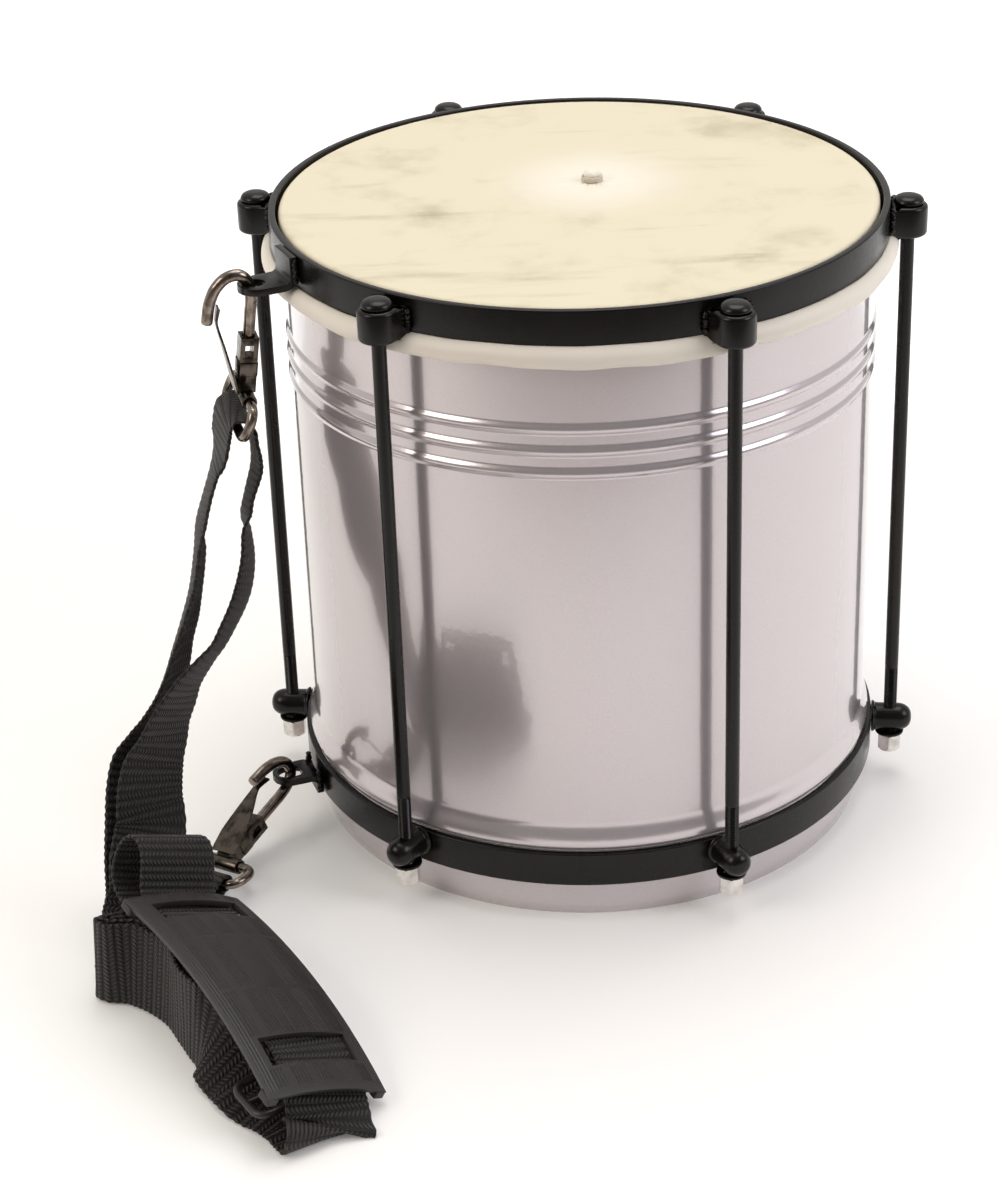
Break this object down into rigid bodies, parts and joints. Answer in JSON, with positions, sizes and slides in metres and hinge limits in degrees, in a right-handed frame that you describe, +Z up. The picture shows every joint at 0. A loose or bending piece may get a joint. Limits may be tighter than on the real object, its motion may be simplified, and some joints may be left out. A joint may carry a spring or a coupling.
{
  "type": "cuica friction drum",
  "caption": "Friction drum with a beaded metal shell open below, a skin pulled down by a black hoop and rods, a thin stick tied inside it, and a hooked-on padded shoulder strap.",
  "frame": {"origin": "on the drum's axis, at the floor that the open lower rim stands on", "axes": "+Z up along the drum's axis; the picture looks mostly along +Y and down; the strap hangs on the -X side"},
  "size_m": [0.3628, 0.4217, 0.2886],
  "materials": {
    "shell_lacquer": "glossy silver lacquer over steel",
    "skin": "natural cream rawhide, mottled",
    "hoop_wire": "plain steel",
    "cane": "smooth cane",
    "thread": "waxed thread",
    "black_enamel": "semi-gloss black enamel",
    "bright_zinc": "bright plated",
    "nickel": "dark nickel plated",
    "webbing": "coarse woven black polypropylene",
    "pad_rubber": "moulded matt rubber with fine ribs",
    "slider_plastic": "satin charcoal plastic"
  },
  "bodies": {
    "drum": {"shell": "shell_lacquer", "head_skin": "skin", "flesh_hoop": "hoop_wire", "friction_stick": "cane", "stick_binding": "thread", "top_hoop": "black_enamel", "bottom_hoop": "black_enamel", "top_lug_1": "black_enamel", "bottom_lug_1": "black_enamel", "tension_rod_1": "black_enamel", "washer_1": "black_enamel", "top_lug_2": "black_enamel", "bottom_lug_2": "black_enamel", "tension_rod_2": "black_enamel", "washer_2": "black_enamel", "top_lug_3": "black_enamel", "bottom_lug_3": "black_enamel", "tension_rod_3": "black_enamel", "washer_3": "black_enamel", "top_lug_4": "black_enamel", "bottom_lug_4": "black_enamel", "tension_rod_4": "black_enamel", "washer_4": "black_enamel", "top_lug_5": "black_enamel", "bottom_lug_5": "black_enamel", "tension_rod_5": "black_enamel", "washer_5": "black_enamel", "top_lug_6": "black_enamel", "bottom_lug_6": "black_enamel", "tension_rod_6": "black_enamel", "washer_6": "black_enamel", "top_strap_tab": "black_enamel", "bottom_strap_tab": "black_enamel", "upper_hook_wire": "nickel", "upper_hook_body": "nickel", "upper_strap_ring": "nickel", "lower_hook_wire": "nickel", "lower_hook_body": "nickel", "lower_strap_ring": "nickel", "shoulder_pad": "pad_rubber", "strap_pad_run": "webbing", "strap_legs": "webbing", "strap_sewn_end": "webbing", "strap_slider": "slider_plastic"},
    "nut_1": {"hex_nut_1": "bright_zinc"},
    "nut_2": {"hex_nut_2": "bright_zinc"},
    "nut_3": {"hex_nut_3": "bright_zinc"},
    "nut_4": {"hex_nut_4": "bright_zinc"},
    "nut_5": {"hex_nut_5": "bright_zinc"},
    "nut_6": {"hex_nut_6": "bright_zinc"},
    "upper_gate": {"upper_hook_gate": "nickel"},
    "lower_gate": {"lower_hook_gate": "nickel"}
  },
  "joints": [
    {"name": "nut_1_turn", "type": "hinge", "parent": "drum", "child": "nut_1", "pos_m": [0.13907, -0.01609, 0.016], "axis": [0, 0, 1], "continuous": true},
    {"name": "nut_2_turn", "type": "hinge", "parent": "drum", "child": "nut_2", "pos_m": [0.08347, 0.11239, 0.016], "axis": [0, 0, 1], "continuous": true},
    {"name": "nut_3_turn", "type": "hinge", "parent": "drum", "child": "nut_3", "pos_m": [-0.0556, 0.12849, 0.016], "axis": [0, 0, 1], "continuous": true},
    {"name": "nut_4_turn", "type": "hinge", "parent": "drum", "child": "nut_4", "pos_m": [-0.13907, 0.01609, 0.016], "axis": [0, 0, 1], "continuous": true},
    {"name": "nut_5_turn", "type": "hinge", "parent": "drum", "child": "nut_5", "pos_m": [-0.08347, -0.11239, 0.016], "axis": [0, 0, 1], "continuous": true},
    {"name": "nut_6_turn", "type": "hinge", "parent": "drum", "child": "nut_6", "pos_m": [0.0556, -0.12849, 0.016], "axis": [0, 0, 1], "continuous": true},
    {"name": "upper_gate_swing", "type": "hinge", "parent": "drum", "child": "upper_gate", "pos_m": [-0.14754, -0.05901, 0.22651], "axis": [-0.2782, 0.953, 0.1197], "range_deg": [0, 16], "stiffness_Nm_per_rad": 0.02, "springref_deg": -11.46},
    {"name": "lower_gate_swing", "type": "hinge", "parent": "drum", "child": "lower_gate", "pos_m": [-0.16509, -0.08434, 0.01373], "axis": [-0.7771, 0.6144, -0.1367], "range_deg": [0, 16], "stiffness_Nm_per_rad": 0.02, "springref_deg": -11.46}
  ]
}
